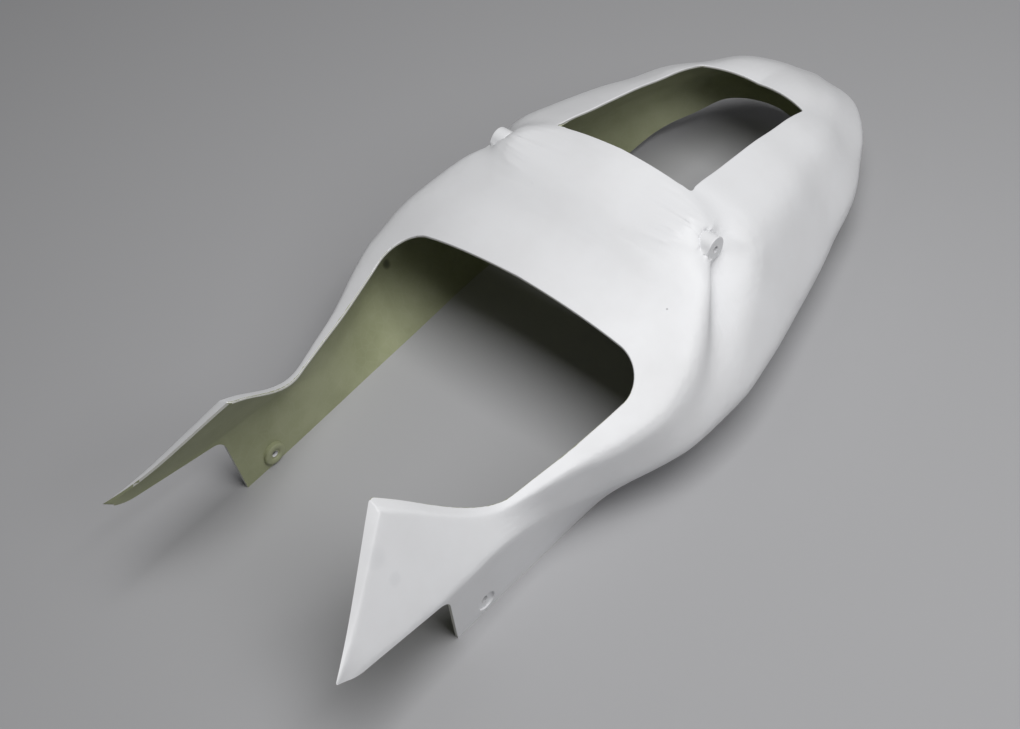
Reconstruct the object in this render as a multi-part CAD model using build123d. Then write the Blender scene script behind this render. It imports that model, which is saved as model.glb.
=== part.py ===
"""Motorbike seat cowl: one moulded glass-fibre shell with two front arms, a seat opening and a roof opening.

Millimetres. X points forward, Y to the rider's left, Z up. The bottom edges of the arms lie on Z = 0.
"""
from build123d import *
import math
import os

# Laminate, its sanded edges, and the distance from the tab tip to the middle of the length
WALL = 3.0
EDGE_ROUND = 0.9
FORWARD_SHIFT = 292.0

# Widest place of the waist and crest of the hump
WAIST_U = 310.0
WAIST_WIDEST = 195.0
CREST_U = 389.0
CREST_Z = 187.0

# Side view of the free bottom edge, rearward distance u from the tab tip
FLAT_EDGE_END = 400.0
TAIL_EDGE_U = 676.0
TAIL_EDGE_Z = 36.0
TAIL_EDGE_SLOPE = 0.16

# Front panel and notch, side view
PANEL_TIP_U = -124.5
PANEL_TIP_Z = 101.5
PANEL_BEND_U = -107.0
PANEL_BEND_Z = 89.0
PANEL_BEND_RADIUS = 40.0
PANEL_TIP_RADIUS = 4.0
NOTCH_U = -6.0
NOTCH_Z = 69.0
NOTCH_RADIUS = 14.0

# Free edges of the panels and the seat opening, plan view
PANEL_TIP_HALF = 133.5
PANEL_TOP_U = -16.0
PANEL_TOP_HALF = 77.0
PANEL_TOP_RADIUS = 4.0
VALLEY_U = 84.0
VALLEY_HALF = 117.0
VALLEY_RADIUS = 80.0
SEAT_REAR_U = 243.0
SEAT_REAR_HALF = 146.0
SEAT_CORNER_RADIUS = 30.0
SEAT_CUT_FLOOR = 70.0

# Roof opening, plan view
ROOF_FRONT_U = 389.0
ROOF_FRONT_HALF = 74.0
ROOF_REAR_U = 590.0
ROOF_REAR_HALF = 60.0
ROOF_REAR_BULGE = 13.0
ROOF_CORNER_RADIUS = 6.0

# Bolt places
LOWER_BOLT_U = 36.0
LOWER_BOLT_Z = 13.0
LOWER_BOLT_BOSS_RADIUS = 11.5
LOWER_BOLT_DISH_RADIUS = 9.5
LOWER_BOLT_DISH_DEPTH = 2.5
UPPER_BOLT_U = 360.0
UPPER_BOLT_Z = 156.0
UPPER_BOLT_FACE_HALF = 123.0
UPPER_BOLT_BOSS_LENGTH = 19.0
UPPER_BOLT_BOSS_RADIUS = 12.0
UPPER_BOLT_BACK_ROUND = 7.0
BOLT_HOLE_RADIUS = 3.25

# Hollow that the upper bolt seat stands in, running forward and down
HOLLOW_DROP = 16.0
HOLLOW_DEPTH = 25.0
HOLLOW_ABOVE = 21.0
HOLLOW_BELOW = 20.0
HOLLOW_AHEAD = 55.0
HOLLOW_BEHIND = 26.0
HOLLOW_FALL = 0.55

# Top of the crease between a panel and its turned-in flange
CREASE_TOP_U = -19.0
CREASE_TOP_HALF = 90.0
CREASE_TOP_Z = 166.0

# Steps of the loft, and what runs past the trimmed edges
FRONT_STATIONS = 6
REAR_STATIONS = 42
ROUND_STEPS = 27
FAR = 300.0
RUN_OUT = 40.0
SECTION_RUN_OUT = 12.0
SKIN_LEAD = 9.0
TAIL_TURN = 93.0

# Turn of the sections round the tail
TURN_START_U = 520.0
TURN_LENGTH = 80.0
TURN_RADIUS = 125.0


def turn_at(s):
    """Foot of the section at s on the centre line, and the angle that the section has turned by."""
    x = min(max((s - TURN_START_U) / TURN_LENGTH, 0.0), 1.0)
    turned = TURN_LENGTH * (x**3 - x**4 / 2) + max(s - TURN_START_U - TURN_LENGTH, 0.0)
    return s - turned, turned / TURN_RADIUS


def tail(degrees):
    """Station at which the section has turned by this angle."""
    return TURN_START_U + TURN_LENGTH / 2 + TURN_RADIUS * math.radians(degrees)


# Rails: (station, size) points of the guide curves
BOTTOM_HALF = [(-140, 129), (0, 128.2), (100, 130.5), (200, 134.5), (320, 139), (430, 134), (530, 121),
               (tail(32), 111), (tail(56), 121), (tail(90), 114)]
BOTTOM_Z = [(-140, 0), (400, 0), (530, 13), (tail(32), 27), (tail(60), 34), (tail(90), 36)]
WAIST_HALF = [(-140, 135), (0, 134), (82, 133.5), (109, 135), (138, 143), (175, 158), (196, 169), (254, 190),
              (WAIST_U, WAIST_WIDEST), (367, 187), (430, 173), (490, 159), (540, 145), (tail(29), 130),
              (tail(52), 140), (tail(70), 151), (tail(90), 150)]
WAIST_Z = [(-140, 91), (-95, 89), (-60, 82), (0, 74), (57, 70), (83, 63), (109, 54), (138, 48), (175, 45),
           (254, 48), (WAIST_U, 50), (430, 48), (560, 51), (tail(90), 57)]
WAIST_ROUND = [(-140, 8), (60, 8), (138, 12), (196, 22), (254, 30), (430, 30), (560, 26), (tail(90), 22)]
SHOULDER_HALF = [(-140, 140), (-112, 130), (CREASE_TOP_U, CREASE_TOP_HALF), (84, 124), (112, 133), (143, 143),
                 (185, 161), (228, 172), (262, 170), (290, 161), (350, 142), (400, 136), (445, 128), (494, 117),
                 (540, 103), (tail(34), 93), (tail(62), 110), (tail(90), 128)]
SHOULDER_Z = [(-140, 101), (-112, 109), (CREASE_TOP_U, CREASE_TOP_Z), (84, 89), (112, 90.5), (143, 92),
              (185, 96), (228, 104), (262, 118), (290, 133), (350, 154), (400, 151), (445, 143), (494, 133),
              (540, 123), (tail(34), 104), (tail(62), 94), (tail(90), 78)]
SHOULDER_ROUND = [(-140, 5), (84, 5), (143, 10), (190, 24), (235, 40), (262, 40), (WAIST_U, 32), (430, 38),
                  (560, 38), (tail(90), 26)]
CROWN_Z = [(-140, 136), (-112, 143), (CREASE_TOP_U, 190), (84, 118), (143, 121), (190, 130), (241, 146),
           (290, 156), (340, 177), (CREST_U, CREST_Z), (430, 177), (490, 158), (540, 141), (tail(34), 124),
           (tail(90), 118)]
CROWN_INNER = [(-140, -40), (420, -40), (520, 20), (tail(0), 28), (tail(90), 28)]


def rail(points, s):
    """Curve that keeps the rise and fall of its points, by cubic spans, with a corner at the crease's top."""
    last = len(points) - 1
    s = min(max(s, points[0][0]), points[last][0])
    i = max(k for k in range(last) if points[k][0] <= s)
    rises = [(b[1] - a[1]) / (b[0] - a[0]) for a, b in zip(points, points[1:])]

    def slope(k, own):
        if k in (0, last) or points[k][0] == CREASE_TOP_U:
            return rises[own]
        if rises[k - 1] * rises[k] <= 0:
            return 0.0
        back = points[k][0] - points[k - 1][0]
        ahead = points[k + 1][0] - points[k][0]
        near = 2 * ahead + back
        far = ahead + 2 * back
        return (near + far) / (near / rises[k - 1] + far / rises[k])

    span = points[i + 1][0] - points[i][0]
    t = (s - points[i][0]) / span
    start = (2 * t**3 - 3 * t**2 + 1) * points[i][1] + (t**3 - 2 * t**2 + t) * span * slope(i, i)
    end = (3 * t**2 - 2 * t**3) * points[i + 1][1] + (t**3 - t**2) * span * slope(i + 1, i)
    return start + end


def toward(a, b, distance):
    """Point at this distance from a on the way to b."""
    length = math.hypot(b[0] - a[0], b[1] - a[1])
    return (a[0] + (b[0] - a[0]) * distance / length, a[1] + (b[1] - a[1]) * distance / length)


def spline_point(ctrl, t):
    """Point of a clamped cubic B-spline."""
    degree = 3
    spans = len(ctrl) - degree
    knots = [0.0] * degree + [k / spans for k in range(spans + 1)] + [1.0] * degree
    j = degree + min(int(t * spans), spans - 1)
    d = [ctrl[j - degree + i] for i in range(degree + 1)]
    for r in range(1, degree + 1):
        for i in range(degree, r - 1, -1):
            low = knots[j - degree + i]
            a = (t - low) / (knots[j + 1 + i - r] - low)
            d[i] = tuple((1 - a) * p + a * q for p, q in zip(d[i - 1], d[i]))
    return d[degree]


def section(s):
    """Control polygon of the half section at station s, (half width, height), from below the edge to the crown."""
    bottom = (rail(BOTTOM_HALF, s), rail(BOTTOM_Z, s))
    waist = (rail(WAIST_HALF, s), rail(WAIST_Z, s))
    shoulder = (rail(SHOULDER_HALF, s), rail(SHOULDER_Z, s))
    crown_z = rail(CROWN_Z, s)
    inner = rail(CROWN_INNER, s)
    crown = (max(-inner, (shoulder[0] + inner) / 2), crown_z)
    side_length = math.hypot(waist[0] - shoulder[0], waist[1] - shoulder[1])
    round_w = min(rail(WAIST_ROUND, s), side_length / 3)
    round_s = min(rail(SHOULDER_ROUND, s), side_length / 3)
    middle = ((bottom[0] + waist[0]) / 2, (bottom[1] + waist[1]) / 2)
    side = ((waist[0] + shoulder[0]) / 2, (waist[1] + shoulder[1]) / 2)
    return [toward(bottom, waist, -SECTION_RUN_OUT), bottom, middle, toward(waist, bottom, round_w), waist,
            toward(waist, shoulder, round_w), side, toward(shoulder, waist, round_s), shoulder,
            toward(shoulder, crown, round_s), crown, (inner, crown_z)]


def skin_point(ctrl, s, t):
    """Point of the outer skin."""
    r, z = spline_point(ctrl, t)
    foot, angle = turn_at(s)
    u = foot + r * math.sin(angle)
    half = r * math.cos(angle)
    along = UPPER_BOLT_U - u
    rise = z - (UPPER_BOLT_Z - HOLLOW_DROP - HOLLOW_FALL * along)
    reach = along / (HOLLOW_AHEAD if along > 0 else HOLLOW_BEHIND)
    climb = rise / (HOLLOW_ABOVE if rise > 0 else HOLLOW_BELOW)
    half -= HOLLOW_DEPTH * math.exp(-reach**2 - climb**2)
    return Vector(FORWARD_SHIFT - u, half, z)


def net(s, depth):
    """Points of the section at station s, moved inwards by depth in the plane of the section."""
    ctrl = section(s)
    points = [skin_point(ctrl, s, k / ROUND_STEPS) for k in range(ROUND_STEPS + 1)]
    angle = turn_at(s)[1]
    travel = Vector(-math.cos(angle), -math.sin(angle), 0)
    moved = []
    for k, point in enumerate(points):
        run = points[min(k + 1, ROUND_STEPS)] - points[max(k - 1, 0)]
        moved.append(point + run.cross(travel).normalized() * depth)
    return moved


def skin_face(first, last, steps, depth):
    """Skin lofted through evenly spaced sections."""
    shares = [k / ROUND_STEPS for k in range(ROUND_STEPS + 1)]
    stations = [first + (last - first) * i / steps for i in range(steps + 1)]
    curves = [Edge.make_spline(net(s, depth), parameters=shares) for s in stations]
    return Shell.make_loft([Wire([curve]) for curve in curves]).face()


def thin_half():
    """Laminate of the left half, from ahead of the panel tip to past the middle of the tail, untrimmed."""
    runs = [(PANEL_TIP_U - SKIN_LEAD, CREASE_TOP_U, FRONT_STATIONS),
            (CREASE_TOP_U, tail(TAIL_TURN), REAR_STATIONS)]
    shared = FORWARD_SHIFT - CREASE_TOP_U
    faces = []
    for first, last, steps in runs:
        outer = skin_face(first, last, steps, 0)
        inner = skin_face(first, last, steps, WALL)
        faces += [outer, inner]
        for edge in outer.edges():
            if edge.bounding_box().size.X < WALL and abs(edge.center().X - shared) < WALL:
                continue
            mate = min(inner.edges(), key=lambda other: (other.center() - edge.center()).length)
            faces.append(Face.make_surface_from_curves(edge, mate))
    return Solid(Shell(faces))


def at(u, v):
    """Drawing point of a view, from the rearward distance u."""
    return (FORWARD_SHIFT - u, v)


def side_cut():
    """Everything below the panel, the notch, the tab and the bottom edge, seen from the side."""
    slope = (PANEL_BEND_Z - PANEL_TIP_Z) / (PANEL_BEND_U - PANEL_TIP_U)
    ahead = at(PANEL_TIP_U - RUN_OUT, PANEL_TIP_Z - slope * RUN_OUT)
    lower = FilletPolyline(ahead, at(PANEL_BEND_U, PANEL_BEND_Z), at(NOTCH_U, NOTCH_Z), at(0, 0),
                           radius=[PANEL_BEND_RADIUS, NOTCH_RADIUS])
    flat = Line(at(0, 0), at(FLAT_EDGE_END, 0))
    rise = Spline(at(FLAT_EDGE_END, 0), at(TAIL_EDGE_U, TAIL_EDGE_Z), tangents=[(-1, 0), (-1, TAIL_EDGE_SLOPE)])
    behind = at(TAIL_EDGE_U + FAR, TAIL_EDGE_Z + TAIL_EDGE_SLOPE * FAR)
    close = Polyline(at(TAIL_EDGE_U, TAIL_EDGE_Z), behind, (behind[0], -FAR), (ahead[0], -FAR), ahead)
    outline = make_face([lower, flat, rise, close])
    return extrude(Plane.XZ * outline, amount=FAR, both=True)


def seat_cut():
    """Everything between the arms, with the free edges of the panels, seen from above."""
    spread = (PANEL_TIP_HALF - PANEL_TOP_HALF) / (PANEL_TOP_U - PANEL_TIP_U)
    ahead = at(PANEL_TIP_U - RUN_OUT, PANEL_TIP_HALF + spread * RUN_OUT)
    edge = FilletPolyline(ahead, at(PANEL_TOP_U, PANEL_TOP_HALF), at(VALLEY_U, VALLEY_HALF),
                          at(SEAT_REAR_U, SEAT_REAR_HALF), at(SEAT_REAR_U, -WALL),
                          radius=[PANEL_TOP_RADIUS, VALLEY_RADIUS, SEAT_CORNER_RADIUS])
    close = Polyline(at(SEAT_REAR_U, -WALL), (ahead[0], -WALL), ahead)
    return Pos(0, 0, SEAT_CUT_FLOOR) * extrude(make_face([edge, close]), amount=FAR)


def roof_cut():
    """Roof opening, seen from above."""
    sides = [at(ROOF_FRONT_U, -ROOF_FRONT_HALF), at(ROOF_FRONT_U, ROOF_FRONT_HALF)]
    rear = [at(ROOF_REAR_U, ROOF_REAR_HALF), at(ROOF_REAR_U, -ROOF_REAR_HALF)]
    arc = ThreePointArc(rear[0], at(ROOF_REAR_U + ROOF_REAR_BULGE, 0), rear[1])
    outline = make_face([Polyline(rear[1], sides[0], sides[1], rear[0]), arc])
    outline = fillet(outline.vertices(), ROOF_CORNER_RADIUS)
    return Pos(0, 0, SEAT_CUT_FLOOR) * extrude(outline, amount=FAR)


def skin_half(u, z):
    """Half width of the outer skin at a height, ahead of the turn."""
    ctrl = section(u)
    low, high = 0.0, 1.0
    while high - low > 1e-6:
        middle = (low + high) / 2
        if skin_point(ctrl, u, middle).Z < z:
            low = middle
        else:
            high = middle
    return skin_point(ctrl, u, low).Y


def across(u, z, start, end, radius):
    """Cylinder along Y between two half widths."""
    centre = (FORWARD_SHIFT - u, start, z)
    circle = Plane(centre, x_dir=(1, 0, 0), z_dir=(0, 1, 0)) * Circle(radius)
    return extrude(circle, amount=end - start)


def upper_boss():
    """Round bolt seat of the hump, rounded behind and drilled."""
    back = UPPER_BOLT_FACE_HALF - UPPER_BOLT_BOSS_LENGTH
    boss = across(UPPER_BOLT_U, UPPER_BOLT_Z, back, UPPER_BOLT_FACE_HALF, UPPER_BOLT_BOSS_RADIUS)
    boss = fillet(boss.edges().sort_by(Axis.Y)[0], UPPER_BOLT_BACK_ROUND)
    return boss - across(UPPER_BOLT_U, UPPER_BOLT_Z, 0, FAR, BOLT_HOLE_RADIUS)


def lower_boss(skin, floor):
    """Cup behind the dished bolt hole of the tab."""
    cup = across(LOWER_BOLT_U, LOWER_BOLT_Z, floor - WALL, skin - WALL / 2, LOWER_BOLT_BOSS_RADIUS)
    cup -= across(LOWER_BOLT_U, LOWER_BOLT_Z, floor, FAR, LOWER_BOLT_DISH_RADIUS)
    return cup - across(LOWER_BOLT_U, LOWER_BOLT_Z, 0, FAR, BOLT_HOLE_RADIUS)


def rounded(shell):
    """Rounded panel tip, and sanded rims of the panel, the seat opening and the roof opening."""
    def rear(edge):
        return FORWARD_SHIFT - edge.center().X

    def on_rim(edge):
        u, half = rear(edge), edge.center().Y
        if half < WALL or edge.center().Z < SEAT_CUT_FLOOR or abs(u - CREASE_TOP_U) < PANEL_TOP_RADIUS / 4:
            return False
        panel = CREASE_TOP_U < u <= VALLEY_U and half < VALLEY_HALF + WALL
        seat = VALLEY_U < u < SEAT_REAR_U + WALL and half < SEAT_REAR_HALF
        roof = ROOF_FRONT_U - WALL < u < ROOF_REAR_U + 2 * ROOF_REAR_BULGE and half < ROOF_FRONT_HALF + WALL
        return panel or seat or roof

    shell = shell.fillet(PANEL_TIP_RADIUS, [min(shell.edges().filter_by(GeomType.LINE), key=rear)])
    skins = shell.faces().filter_by(GeomType.BSPLINE)
    return shell.fillet(EDGE_ROUND, [edge for skin in skins for edge in skin.edges() if on_rim(edge)])


def left_half():
    """Laminate trimmed, with its bolt seats."""
    shell = thin_half()
    shell -= Pos(0, -FAR, 0) * Box(4 * FAR, 2 * FAR, 4 * FAR)
    shell -= side_cut()
    shell -= seat_cut()
    shell -= roof_cut()
    back = UPPER_BOLT_FACE_HALF - UPPER_BOLT_BOSS_LENGTH
    flat = UPPER_BOLT_BOSS_RADIUS - UPPER_BOLT_BACK_ROUND
    shell -= across(UPPER_BOLT_U, UPPER_BOLT_Z, back, FAR, (BOLT_HOLE_RADIUS + flat) / 2)
    shell += upper_boss()
    skin = skin_half(LOWER_BOLT_U, LOWER_BOLT_Z)
    floor = skin - LOWER_BOLT_DISH_DEPTH
    shell -= across(LOWER_BOLT_U, LOWER_BOLT_Z, skin - 2 * WALL, FAR, LOWER_BOLT_DISH_RADIUS)
    return rounded(shell + lower_boss(skin, floor))


def cowl():
    """Both halves in one piece."""
    left = left_half()
    return left + mirror(left, about=Plane.XZ)


os.makedirs("parts", exist_ok=True)
cowl_shell = cowl()
export_step(cowl_shell, "parts/cowl_shell.step")
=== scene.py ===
# %% [markdown]
# # A motorbike seat cowl in white gelcoat
# The cowl is one glass-fibre moulding: a satin white gelcoat face outside, the green-tinted laminate inside.
# The CAD model gives the true shape, so this lesson starts from it, finds out which faces belong to which side of
# the laminate, softens the bolt seats and then spends its time on the two finishes.

# %% Load the frame
import bpy
import math
from mathutils import Matrix, Vector
from mathutils.bvhtree import BVHTree


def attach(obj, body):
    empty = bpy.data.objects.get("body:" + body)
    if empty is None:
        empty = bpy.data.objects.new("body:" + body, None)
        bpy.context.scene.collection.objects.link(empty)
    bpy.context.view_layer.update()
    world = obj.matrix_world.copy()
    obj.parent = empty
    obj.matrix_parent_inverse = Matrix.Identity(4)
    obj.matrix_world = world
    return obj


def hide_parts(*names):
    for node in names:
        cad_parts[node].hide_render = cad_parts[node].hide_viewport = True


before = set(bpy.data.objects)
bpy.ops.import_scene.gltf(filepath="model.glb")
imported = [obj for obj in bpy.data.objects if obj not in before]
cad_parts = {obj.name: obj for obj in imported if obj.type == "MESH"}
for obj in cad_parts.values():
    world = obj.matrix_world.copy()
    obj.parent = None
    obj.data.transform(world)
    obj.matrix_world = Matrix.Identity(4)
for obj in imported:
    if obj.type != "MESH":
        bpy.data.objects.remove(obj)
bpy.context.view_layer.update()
cad_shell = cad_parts["cowl_shell"]

# %% [markdown]
# ## The camera
# The photograph looks down over the left front panel, with a small roll. A camera could be turned by hand until the
# picture fits. Here it is placed by its spot and by the directions that are right and up in the picture, because
# these follow from the mirrored edges of the cowl. The lens follows from the focal length in pixels.

# %% Camera
CAMERA_SPOT = Vector((0.73625, 0.67947, 1.12739))
PICTURE_RIGHT = Vector((-0.64891, 0.75698, -0.07677))
PICTURE_UP = Vector((-0.60378, -0.45091, 0.65737))
BACKWARDS = PICTURE_RIGHT.cross(PICTURE_UP)
SENSOR_WIDTH = 36.0
PICTURE_WIDTH = 1020.0
FOCAL_PIXELS = 1600.0
scene = bpy.context.scene
camera_data = bpy.data.cameras.new("photo_camera")
camera_data.sensor_fit = "HORIZONTAL"
camera_data.sensor_width = SENSOR_WIDTH
camera_data.lens = SENSOR_WIDTH * (FOCAL_PIXELS / PICTURE_WIDTH)
camera = bpy.data.objects.new("photo_camera", camera_data)
scene.collection.objects.link(camera)
turn = Matrix((PICTURE_RIGHT, PICTURE_UP, BACKWARDS)).transposed()
camera.matrix_world = Matrix.Translation(CAMERA_SPOT) @ turn.to_4x4()
scene.camera = camera
scene.view_settings.view_transform = "Standard"
print("lens", round(camera_data.lens, 2))

# %% [markdown]
# ## Floor and light
# A plain pale floor carries the cowl. One broad lamp hangs above the hump, a little to the near side, so that the
# inside is lit only through the openings. A weaker one stands off the near side, so that the flanks fall off softly.
# The sky adds just enough to keep the shadows open.

# %% Floor
FLOOR_SIZE = 8.0
FLOOR_GREY = (0.40, 0.40, 0.41, 1)
FLOOR_ROUGHNESS = 0.9
bpy.ops.object.select_all(action="DESELECT")
bpy.ops.mesh.primitive_plane_add(size=FLOOR_SIZE, location=(0, 0, 0))
floor = bpy.context.object
floor.name = "floor"
floor_paint = bpy.data.materials.new("floor_paint")
floor_paint.use_nodes = True
floor_shader = floor_paint.node_tree.nodes["Principled BSDF"]
floor_shader.inputs["Base Color"].default_value = FLOOR_GREY
floor_shader.inputs["Roughness"].default_value = FLOOR_ROUGHNESS
floor.data.materials.append(floor_paint)
print("floor", floor.name, "of", FLOOR_SIZE, "m")

# %% Lamps
COWL_MIDDLE = Vector((0, 0, 0.05))


def soft_box(name, spot, size, power):
    """A square lamp that looks at the middle of the cowl."""
    lamp = bpy.data.lights.new(name, "AREA")
    lamp.shape = "SQUARE"
    lamp.size = size
    lamp.energy = power
    holder = bpy.data.objects.new(name, lamp)
    scene.collection.objects.link(holder)
    holder.location = spot
    holder.rotation_euler = (COWL_MIDDLE - spot).to_track_quat("-Z", "Y").to_euler()


soft_box("over_hump", Vector((0.0, 0.45, 2.0)), size=1.3, power=31)
soft_box("near_side", Vector((0.1, 1.7, 1.9)), size=1.2, power=14)

# %% Sky
SKY_STRENGTH = 0.04
world = bpy.data.worlds.new("studio")
world.use_nodes = True
sky = world.node_tree.nodes["Background"]
sky.inputs["Color"].default_value = (1, 1, 1, 1)
sky.inputs["Strength"].default_value = SKY_STRENGTH
scene.world = world
print("sky strength", SKY_STRENGTH)

# %% [markdown]
# ## The moulding
# The real shell is laid up in a mould and trimmed. It could be sculpted anew, but the CAD mesh already has every
# curve and opening at its true place, so a copy of it is dressed. The triangles of its faces are loose from each
# other, so they are merged first. The normals that came with the loose triangles are then out of date, and go.

# %% Copy and merge the shell
MERGE = 0.00002
shell = bpy.data.objects.new("cowl_skin", cad_shell.data.copy())
scene.collection.objects.link(shell)
bpy.ops.object.select_all(action="DESELECT")
shell.select_set(True)
bpy.context.view_layer.objects.active = shell
bpy.ops.object.mode_set(mode="EDIT")
bpy.ops.mesh.select_all(action="SELECT")
bpy.ops.mesh.remove_doubles(threshold=MERGE)
bpy.ops.mesh.select_all(action="DESELECT")
bpy.ops.object.mode_set(mode="OBJECT")
bpy.ops.mesh.customdata_custom_splitnormals_clear()
print("merged shell", len(shell.data.vertices), "points", len(shell.data.polygons), "faces")

# %% [markdown]
# ## Which side is which
# Gelcoat is sprayed into the mould first, and the laminate goes on its back, so the two finishes follow the two
# skins. The faces could be painted by hand, but a rule also holds after a change of the CAD model. A face of a skin
# has the other skin one wall behind it. It lies outside when it looks away from the spine of the hollow, and inside
# when it looks towards it. All other faces are rims and bolt seats.

# %% Tell the skins apart
WALL = 0.003
SKIN_GAP = 1.2 * WALL
RAY_START = WALL / 10
RAY_LENGTH = 2 * WALL
SPINE_HEIGHT = 0.06
SPINE_REAR = -0.24
SPINE_FRONT = 0.12
OUTSIDE, INSIDE, OTHER = 0, 1, 2


def looks_out(face):
    """True where a face looks away from the spine of the hollow, or from the middle plane on the arms."""
    spot = face.center
    if spot.x > SPINE_FRONT:
        return face.normal.y * spot.y > 0
    spine = Vector((max(spot.x, SPINE_REAR), 0, SPINE_HEIGHT))
    return face.normal.dot(spot - spine) > 0


points = [v.co.copy() for v in shell.data.vertices]
corners = [list(p.vertices) for p in shell.data.polygons]
whole = BVHTree.FromPolygons(points, corners)
kinds = []
for face in shell.data.polygons:
    hit = whole.ray_cast(face.center - face.normal * RAY_START, -face.normal, RAY_LENGTH)
    if hit[0] is None or hit[3] > SKIN_GAP:
        kinds.append(OTHER)
    else:
        kinds.append(OUTSIDE if looks_out(face) else INSIDE)
print("outside", kinds.count(OUTSIDE), "inside", kinds.count(INSIDE), "other", kinds.count(OTHER))

# %% [markdown]
# A bolt seat is gelcoat in front and laminate behind. Its round side is laminate where it stands inside the shell.
# The left seats are written down, and the right ones mirror them.

# %% The bolt seats
UPPER_SEAT = Vector((-0.068, 0.123, 0.156))
LOWER_SEAT = Vector((0.256, 0.124, 0.013))
SEAT_REACH = 0.0125
FLAT = 0.5


def seat_laminate(face, depth):
    """None away from the bolt seats, else True for a laminate face: the back, or a round side under the skin."""
    for seat in (LOWER_SEAT, UPPER_SEAT):
        radius = Vector((face.center.x - seat.x, 0, face.center.z - seat.z))
        if radius.length < SEAT_REACH:
            forward = face.normal.y * math.copysign(1, face.center.y)
            if abs(forward) > FLAT:
                return forward < 0
            away = face.normal.dot(radius) > 0
            if seat is LOWER_SEAT:
                return away
            return away and depth > WALL / 2 and face.normal.z < 0
    return None


print("upper seats", round(2 * UPPER_SEAT.y, 3), "m apart, lower seats", round(2 * LOWER_SEAT.y, 3), "m apart")

# %% [markdown]
# A rim face deeper under the outer skin than one wall is laminate. One that lies between the skins is the cut edge,
# where the saw has left the bare section. Both are kept as numbers on the faces, for the material to read.

# %% Store the sides on the faces
LAMINATE = "laminate_side"
CUT_EDGE = "cut_edge"
DEEP = 1.1 * WALL
SHALLOW = WALL / 5


def store(piece, name, values):
    """Keep one number per face."""
    layer = piece.data.attributes.new(name, "FLOAT", "FACE")
    layer.data.foreach_set("value", values)


outer_skin = BVHTree.FromPolygons(points, [c for c, kind in zip(corners, kinds) if kind == OUTSIDE])
laminate = []
cut = []
for face, kind in zip(shell.data.polygons, kinds):
    skin_spot, skin_normal = outer_skin.find_nearest(face.center)[:2]
    depth = (skin_spot - face.center).dot(skin_normal)
    on_seat = seat_laminate(face, depth)
    is_rim = kind == OTHER and on_seat is None
    is_deep = kind == INSIDE or is_rim and depth > DEEP
    laminate.append(float(is_deep if on_seat is None else on_seat))
    cut.append(float(is_rim and SHALLOW < depth <= DEEP))
store(shell, LAMINATE, laminate)
store(shell, CUT_EDGE, cut)
print("laminate faces", int(sum(laminate)), "cut faces", int(sum(cut)), "of", len(kinds))

# %% [markdown]
# ## The swell over the upper bolt seats
# On the real cowl the upper seats grow softly out of the hump. By hand this is proportional editing: the skin above
# each seat is drawn outwards with a soft fall. In code the same fall is a formula, which treats both sides alike.
# The seat's own face and the inside stay where they are, because the bolt needs them there.

# %% The ring of skin round an upper seat
SEAT_RADIUS = 0.012
SEAT_SIDE = SEAT_RADIUS * 1.03
SWELL_RADIUS = 0.042
HALF_WAY_OUT = UPPER_SEAT.y / 2


def off_axis(spot):
    """Distance from the axis of the upper seats."""
    return math.hypot(spot.x - UPPER_SEAT.x, spot.z - UPPER_SEAT.z)


def on_swell(face):
    """True in the ring of skin round a seat, without the seat's own round side."""
    if abs(face.center.y) < HALF_WAY_OUT or off_axis(face.center) > SWELL_RADIUS:
        return False
    return max(off_axis(shell.data.vertices[index].co) for index in face.vertices) > SEAT_SIDE


def pick_swell():
    """Select the gelcoat faces of the ring, and stay in edit mode."""
    bpy.ops.object.mode_set(mode="OBJECT")
    side = shell.data.attributes[LAMINATE].data
    for face in shell.data.polygons:
        face.select = side[face.index].value < 0.5 and on_swell(face)
    bpy.ops.object.mode_set(mode="EDIT")


print("ring from", SEAT_RADIUS, "to", SWELL_RADIUS, "m off the axis")

# %% [markdown]
# The CAD mesh has few points on the smooth hump, so the ring is cut finer before it is drawn out. Otherwise the
# swell would show flat facets.

# %% Make the ring finer
SWELL_CUTS = 3
bpy.ops.object.mode_set(mode="EDIT")
bpy.ops.mesh.select_mode(type="FACE")
bpy.ops.mesh.select_all(action="DESELECT")
pick_swell()
bpy.ops.mesh.subdivide(number_cuts=SWELL_CUTS)
pick_swell()
bpy.ops.mesh.select_mode(type="VERT")
bpy.ops.object.mode_set(mode="OBJECT")
print("finer ring", sum(face.select for face in shell.data.polygons), "faces")

# %% [markdown]
# The pull is strongest beside the seat and dies away at the ring's rim, with a smooth start and end. It also fades
# out below the seat's axis, where the real flank has its hollow.

# %% Draw the ring outwards
SEAT_LIP = 0.0015
SWELL_TOP = UPPER_SEAT.y - SEAT_LIP
SWELL_SHARE = 0.62
SWELL_FOOT = 0.006
SWELL_RISE = 0.014


def clamp(share):
    """Keep a share between 0 and 1."""
    return min(max(share, 0), 1)


moved = 0
for point in shell.data.vertices:
    out = abs(point.co.y)
    if point.select and out < SWELL_TOP:
        fall = clamp((off_axis(point.co) - SEAT_RADIUS) / (SWELL_RADIUS - SEAT_RADIUS))
        rise = clamp((point.co.z - UPPER_SEAT.z + SWELL_FOOT) / SWELL_RISE)
        share = SWELL_SHARE * (1 - fall) ** 2 * (1 + 2 * fall) * rise
        point.co.y = math.copysign(out + share * (SWELL_TOP - out), point.co.y)
        moved += 1
print("swell moved", moved, "points of", len(shell.data.vertices))

# %% [markdown]
# Drawing long and short triangles out together leaves small folds, which smoothing evens out for the most part.
# The points next to the seat are held, because smoothing would pull the skin off the seat's round side.

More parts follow.
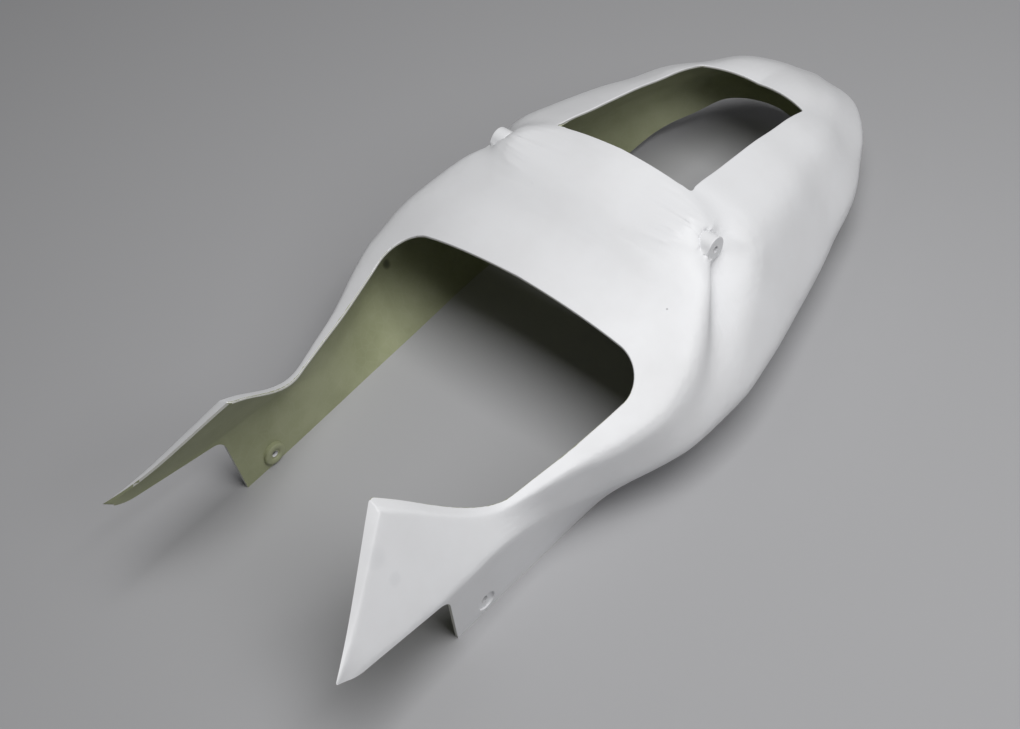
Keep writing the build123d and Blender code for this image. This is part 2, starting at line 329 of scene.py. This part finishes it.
# %% Relax the ring
SWELL_HOLD = SEAT_RADIUS * 1.3
SWELL_RELAX = 30
for point in shell.data.vertices:
    point.select = point.select and off_axis(point.co) > SWELL_HOLD
relaxed = sum(point.select for point in shell.data.vertices)
bpy.ops.object.mode_set(mode="EDIT")
bpy.ops.mesh.vertices_smooth(factor=0.5, repeat=SWELL_RELAX)
bpy.ops.mesh.select_all(action="DESELECT")
bpy.ops.object.mode_set(mode="OBJECT")
print("relaxed", relaxed, "points")

# %% [markdown]
# ## The rims of the upper seats
# Gelcoat doesn't hold a sharp corner, so the rim of each seat's face is rounded. A bevel modifier would also catch
# the trimmed edges, which are sharp. So the rim's edges are picked by their place and bevelled in edit mode.

# %% Round the rims
RIM_ROUND = 0.0014
RIM_STEPS = 3
RIM_NEAR = 0.0003


def on_rim(spot):
    """True on the rim of an upper seat's face."""
    return abs(off_axis(spot) - SEAT_RADIUS) < RIM_NEAR and abs(abs(spot.y) - UPPER_SEAT.y) < RIM_NEAR


rim_points = [on_rim(point.co) for point in shell.data.vertices]
bpy.ops.object.mode_set(mode="EDIT")
bpy.ops.mesh.select_mode(type="EDGE")
bpy.ops.mesh.select_all(action="DESELECT")
bpy.ops.object.mode_set(mode="OBJECT")
for line in shell.data.edges:
    line.select = all(rim_points[index] for index in line.vertices)
bpy.ops.object.mode_set(mode="EDIT")
bpy.ops.mesh.bevel(offset=RIM_ROUND, segments=RIM_STEPS, affect="EDGES", clamp_overlap=True)
bpy.ops.mesh.select_all(action="DESELECT")
bpy.ops.object.mode_set(mode="OBJECT")
print("rims", sum(rim_points), "points, skin now", len(shell.data.polygons), "faces")

# %% [markdown]
# ## The soft rings inside the lower bolt seats
# Inside, the laminate is drawn up into a soft ring round each lower bolt. A circle could be spun into the same form,
# but a torus that is flattened along the bolt and sunk halfway into the seat gives it in one step. One ring is made
# and copied to the other arm, and both join the skin, because on the real cowl they are one laminate with it.

# %% One soft ring
RING_RADIUS = 0.0080
RING_BULGE = 0.0032
RING_FLATNESS = 0.45
RING_STEPS = 64
BULGE_STEPS = 20
bpy.ops.object.select_all(action="DESELECT")
bpy.ops.mesh.primitive_torus_add(
    location=LOWER_SEAT,
    rotation=(math.pi / 2, 0, 0),
    major_radius=RING_RADIUS,
    minor_radius=RING_BULGE,
    major_segments=RING_STEPS,
    minor_segments=BULGE_STEPS,
)
ring = bpy.context.object
bpy.ops.transform.resize(value=(1, RING_FLATNESS, 1))
bpy.ops.object.transform_apply(location=True, rotation=True, scale=True)
store(ring, LAMINATE, [1.0] * len(ring.data.polygons))
store(ring, CUT_EDGE, [0.0] * len(ring.data.polygons))
print("ring height", round(ring.dimensions.y / 2, 5), "m over the seat")

# %% The other ring, and join
bpy.ops.object.duplicate(linked=False)
other_ring = bpy.context.object
bpy.ops.transform.translate(value=(0, -2 * LOWER_SEAT.y, 0))
bpy.ops.object.transform_apply(location=True, rotation=False, scale=False)
for piece in (ring, other_ring, shell):
    piece.select_set(True)
bpy.context.view_layer.objects.active = shell
bpy.ops.object.join()
print("skin with rings", len(shell.data.polygons), "faces")

# %% [markdown]
# ## Smooth shading
# The skins are smooth and only the trimmed edges are sharp. Long thin triangles beside the rims would pull the
# shading about, so the normals are weighted by the area of the faces.

# %% Smooth shading
SHARP = math.radians(50)
bpy.ops.object.shade_smooth_by_angle(angle=SHARP)
bpy.ops.object.modifier_add(type="WEIGHTED_NORMAL")
weighted = shell.modifiers[-1]
weighted.mode = "FACE_AREA"
weighted.keep_sharp = True
bpy.ops.object.modifier_apply(modifier=weighted.name)
print("smooth", shell.data.polygons[0].use_smooth, "custom normals", shell.data.has_custom_normals)

# %% [markdown]
# ## Shader maths
# Patterns are easier to read as formulas than as a net of links. A small class wraps an output socket, so that
# sums and products on it add the nodes, and one method adds any other node. A Mix node has sockets of one name for
# numbers, vectors and colours, so its colour sockets are taken by their number.

# %% A socket that can be reckoned with
MIX_FACTOR, MIX_FIRST, MIX_SECOND, MIX_RESULT = 0, 6, 7, 2
MARK_FADE = ((0.0, 1.0), (0.55, 0.75), (1.0, 0.0))


class Value:
    """An output socket of a node tree."""

    def __init__(self, tree, socket):
        self.tree = tree
        self.socket = socket

    def node(self, kind, settings, values, output=0):
        """Add a node: its settings first, then its sockets by value or by link."""
        made = self.tree.nodes.new(kind)
        for name, setting in settings.items():
            if name == "stops":
                while len(made.color_ramp.elements) < len(setting):
                    made.color_ramp.elements.new(0.5)
                for element, (position, level) in zip(made.color_ramp.elements, setting):
                    element.position = position
                    element.color = (level, level, level, 1)
            else:
                setattr(made, name, setting)
        for name, value in values.items():
            if isinstance(value, Value):
                self.tree.links.new(value.socket, made.inputs[name])
            else:
                made.inputs[name].default_value = value
        return Value(self.tree, made.outputs[output])

    def reckon(self, operation, first, second):
        return self.node("ShaderNodeMath", {"operation": operation}, {0: first, 1: second})

    def __add__(self, other):
        return self.reckon("ADD", self, other)

    def __radd__(self, other):
        return self.reckon("ADD", other, self)

    def __sub__(self, other):
        return self.reckon("SUBTRACT", self, other)

    def __rsub__(self, other):
        return self.reckon("SUBTRACT", other, self)

    def __mul__(self, other):
        return self.reckon("MULTIPLY", self, other)

    def __rmul__(self, other):
        return self.reckon("MULTIPLY", other, self)

    def ramp(self, *stops):
        """Map this through grey levels at the given positions."""
        return self.node("ShaderNodeValToRGB", {"stops": stops}, {"Fac": self})

    def blend(self, first, second):
        """First where this is 0, second where it is 1."""
        sockets = {MIX_FACTOR: self, MIX_FIRST: first, MIX_SECOND: second}
        return self.node("ShaderNodeMix", {"data_type": "RGBA"}, sockets, MIX_RESULT)

    def noise(self, scale, detail):
        """Cloudy noise at this place."""
        return self.node("ShaderNodeTexNoise", {}, {"Vector": self, "Scale": scale, "Detail": detail})

    def near(self, spot, radius):
        """1 at a spot, falling to 0 at the radius."""
        far = self.node("ShaderNodeVectorMath", {"operation": "DISTANCE"}, {0: self, 1: spot}, 1)
        return (far * (1 / radius)).ramp(*MARK_FADE)

    def stored(self, name):
        """A number that is kept on the faces."""
        return self.node("ShaderNodeAttribute", {"attribute_name": name}, {}, "Fac")


print("a socket can be added, subtracted and multiplied")

# %% [markdown]
# ## Patterns
# The gelcoat has a faint orange peel, cloudy sanding haze and fine dust. The laminate shows its short glass strands
# as thin light threads in the tinted resin: the borders between the cells of a Voronoi pattern cross like them.

# %% Patterns
gelcoat = bpy.data.materials.new("gelcoat")
gelcoat.use_nodes = True
tree = gelcoat.node_tree
place = Value(tree, tree.nodes.new("ShaderNodeTexCoord").outputs["Object"])
inside = place.stored(LAMINATE)
edge = place.stored(CUT_EDGE)
cloud = place.noise(scale=7.0, detail=3.0)
haze = place.noise(scale=38.0, detail=4.0)
peel = place.noise(scale=420.0, detail=1.0)
dust = place.noise(scale=1100.0, detail=2.0).ramp((0.70, 0.0), (0.76, 1.0))
cells = {"Vector": place, "Scale": 95.0}
threads = place.node("ShaderNodeTexVoronoi", {"feature": "DISTANCE_TO_EDGE"}, cells).ramp((0.0, 1.0), (0.09, 0.0))
print("patterns", len(tree.nodes), "nodes")

# %% [markdown]
# ## Marks and a painted shadow
# This cowl has a dark speck on the hump and two grey smudges on the left front panel. Inside the right flank a
# painted shadow darkens the inner wall just under the seat rim. Each is a soft ball round its place, which colours
# the skin where the skin cuts it.

# %% Marks and a painted shadow
speck = place.near((0.0013, 0.1235, 0.1418), radius=0.0012)
high_smudge = place.near((0.3349, 0.1034, 0.1437), radius=0.011)
low_smudge = place.near((0.3303, 0.1144, 0.1200), radius=0.007)
# painted shadow: a dark patch on the inner wall just under the seat rim
painted_rim_shadow = place.near((0.0430, -0.1804, 0.0477), radius=0.006)
print("patterns and marks", len(tree.nodes), "nodes")

# %% [markdown]
# ## The white gelcoat
# Gelcoat is pigmented resin, a little bluer than paper white. The haze greys it by a hair, the marks lie on top, and
# the cut edge shows the paler, yellower section of the laminate.

# %% White gelcoat
WHITE = (0.800, 0.805, 0.822, 1)
WHITE_HAZE = (0.770, 0.772, 0.785, 1)
SMUDGE = (0.66, 0.67, 0.69, 1)
MARK = (0.30, 0.30, 0.31, 1)
CUT = (0.68, 0.68, 0.62, 1)
white = (cloud * 0.55 + haze * 0.45).ramp((0.42, 0.0), (0.66, 1.0)).blend(WHITE, WHITE_HAZE)
white = ((high_smudge + low_smudge) * 0.35).blend(white, SMUDGE)
white = (speck * 0.8 + dust * 0.05).blend(white, MARK)
white = (edge * 0.85).blend(white, CUT)
print("white gelcoat", len(tree.nodes), "nodes")

# %% [markdown]
# ## The green laminate
# The resin behind the gelcoat is tinted an olive green and varies with its thickness. The strands show through it
# faintly, and the painted shadow under the seat rim is almost black.

# %% Green laminate
RESIN = (0.285, 0.304, 0.176, 1)
RESIN_PALE = (0.370, 0.388, 0.245, 1)
THREAD = (0.42, 0.43, 0.30, 1)
# colour of the painted shadow under the seat rim
RIM_SHADOW_DARK = (0.055, 0.055, 0.035, 1)
green = (cloud * 0.6 + haze * 0.4).ramp((0.36, 0.0), (0.64, 1.0)).blend(RESIN, RESIN_PALE)
green = (threads * 0.14).blend(green, THREAD)
# painted shadow under the seat rim, almost black
green = (painted_rim_shadow * 0.85).blend(green, RIM_SHADOW_DARK)
print("green laminate", len(tree.nodes), "nodes")

# %% [markdown]
# ## Gloss and bump
# The gelcoat is satin: fairly rough, under a thin soft coat. The laminate and the cut edge have no coat and are
# rougher. The peel barely shows as a bump, while the laminate is uneven to the touch.

# %% Gloss and bump
COAT_WEIGHT = 0.12
COAT_ROUGHNESS = 0.32
SHEEN_LEVEL = 0.45
BUMP = {"Strength": 0.12, "Distance": 0.0006}
roughness = 0.44 + haze * 0.10 + inside * 0.08 + edge * 0.15
coat = (1.0 - inside) * (1.0 - edge) * COAT_WEIGHT
height = peel * (1.0 - inside) * 0.5 + (threads * 0.6 + haze * 1.6) * inside
bump = height.node("ShaderNodeBump", {}, {**BUMP, "Height": height}, "Normal")
print("gloss and bump", len(tree.nodes), "nodes")

# %% [markdown]
# ## One material
# Both finishes belong to one piece, so they share one material, and the number on the faces picks between them.
# Only the colour, the roughness, the coat and the bump vary.

# %% Link the finish
shader = tree.nodes["Principled BSDF"]
shader.inputs["Coat Roughness"].default_value = COAT_ROUGHNESS
shader.inputs["Specular IOR Level"].default_value = SHEEN_LEVEL
varying = {
    "Base Color": inside.blend(white, green),
    "Roughness": roughness,
    "Coat Weight": coat,
    "Normal": bump,
}
for name, value in varying.items():
    tree.links.new(value.socket, shader.inputs[name])
shell.data.materials.clear()
shell.data.materials.append(gelcoat)
print("material", gelcoat.name, len(tree.nodes), "nodes")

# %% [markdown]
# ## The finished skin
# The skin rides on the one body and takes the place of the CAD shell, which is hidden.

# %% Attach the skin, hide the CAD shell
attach(shell, "root")
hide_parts("cowl_shell")
